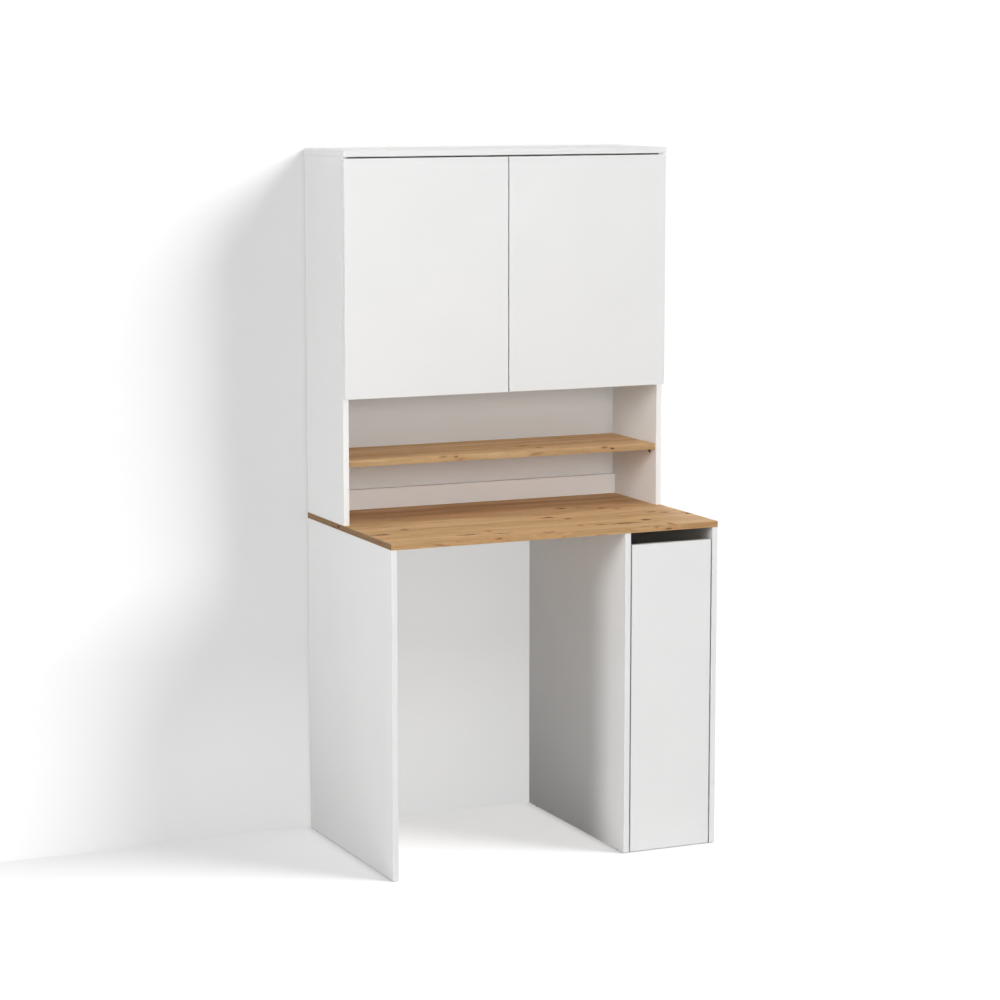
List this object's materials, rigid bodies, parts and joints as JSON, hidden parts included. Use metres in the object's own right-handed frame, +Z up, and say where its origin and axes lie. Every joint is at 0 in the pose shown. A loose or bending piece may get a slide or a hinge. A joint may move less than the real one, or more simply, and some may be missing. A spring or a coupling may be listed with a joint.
{
  "type": "washing machine cabinet",
  "caption": "Tall white laundry cabinet: open appliance bay and narrow pull-out bin under an oak worktop, with an open shelf niche and a two-door cupboard above.",
  "frame": {"origin": "on the floor, at the middle of the footprint", "axes": "+Z up, -Y towards the front that the doors and the pull-out face, +X to the right seen from the front"},
  "size_m": [0.94, 0.6, 1.865],
  "materials": {
    "white_laminate": "matt white laminate on chipboard",
    "white_hardboard": "white lacquered hardboard",
    "oak_laminate": "knotty oak laminate on chipboard",
    "zinc_steel": "zinc plated",
    "nickel_steel": "nickel plated",
    "dark_metal": "dark bronze",
    "clear_rubber": "clear soft rubber",
    "grey_plastic": "grey nylon"
  },
  "bodies": {
    "carcass": {"left_side_panel": "white_laminate", "partition_panel": "white_laminate", "right_side_panel": "white_laminate", "left_side_panel_front_glide": "grey_plastic", "left_side_panel_rear_glide": "grey_plastic", "partition_panel_front_glide": "grey_plastic", "partition_panel_rear_glide": "grey_plastic", "right_side_panel_front_glide": "grey_plastic", "right_side_panel_rear_glide": "grey_plastic", "bay_rear_rail": "white_laminate", "compartment_floor": "white_laminate", "compartment_rear_rail": "white_laminate", "compartment_back": "white_hardboard", "worktop": "oak_laminate", "left_runner_cabinet_member": "zinc_steel", "right_runner_cabinet_member": "zinc_steel", "upper_left_side": "white_laminate", "upper_right_side": "white_laminate", "top_panel": "white_laminate", "cupboard_floor": "white_laminate", "niche_rear_rail": "white_laminate", "hanging_rail": "white_laminate", "upper_back": "white_hardboard", "niche_shelf": "oak_laminate", "niche_shelf_left_front_support": "dark_metal", "niche_shelf_right_front_support": "dark_metal", "niche_shelf_left_rear_support": "dark_metal", "niche_shelf_right_rear_support": "dark_metal", "cupboard_shelf": "white_laminate", "cupboard_shelf_left_front_support": "dark_metal", "cupboard_shelf_right_front_support": "dark_metal", "cupboard_shelf_left_rear_support": "dark_metal", "cupboard_shelf_right_rear_support": "dark_metal", "left_lower_hinge_arm": "nickel_steel", "right_lower_hinge_arm": "nickel_steel", "left_upper_hinge_arm": "nickel_steel", "right_upper_hinge_arm": "nickel_steel", "left_lower_hinge_plate": "nickel_steel", "right_lower_hinge_plate": "nickel_steel", "left_upper_hinge_plate": "nickel_steel", "right_upper_hinge_plate": "nickel_steel"},
    "left_door_leaf": {"left_door": "white_laminate", "left_door_bumper": "clear_rubber", "left_lower_hinge_cup": "nickel_steel", "left_upper_hinge_cup": "nickel_steel"},
    "right_door_leaf": {"right_door": "white_laminate", "right_door_bumper": "clear_rubber", "right_lower_hinge_cup": "nickel_steel", "right_upper_hinge_cup": "nickel_steel"},
    "pullout": {"pullout_front": "white_laminate", "bin_left_side": "white_laminate", "bin_right_side": "white_laminate", "bin_base": "white_laminate", "bin_back": "white_laminate", "left_runner_bin_member": "zinc_steel", "right_runner_bin_member": "zinc_steel"},
    "left_runner_middle": {"left_runner_middle_member": "zinc_steel"},
    "right_runner_middle": {"right_runner_middle_member": "zinc_steel"}
  },
  "joints": [
    {"name": "left_door_hinge", "type": "hinge", "parent": "carcass", "child": "left_door_leaf", "pos_m": [-0.4652, 0.018, 1.5315], "axis": [0, 0, -1], "range_deg": [0, 100]},
    {"name": "right_door_hinge", "type": "hinge", "parent": "carcass", "child": "right_door_leaf", "pos_m": [0.4652, 0.018, 1.5315], "axis": [0, 0, 1], "range_deg": [0, 100]},
    {"name": "pullout_slide", "type": "slide", "parent": "carcass", "child": "pullout", "axis": [0, -1, 0], "range_m": [0, 0.48]},
    {"name": "left_runner_slide", "type": "slide", "parent": "carcass", "child": "left_runner_middle", "axis": [0, -1, 0], "range_m": [0, 0.24]},
    {"name": "right_runner_slide", "type": "slide", "parent": "carcass", "child": "right_runner_middle", "axis": [0, -1, 0], "range_m": [0, 0.24]}
  ],
  "couplings": [
    {"joint": "left_runner_slide", "follows": "pullout_slide", "ratio": 0.5},
    {"joint": "right_runner_slide", "follows": "pullout_slide", "ratio": 0.5}
  ]
}
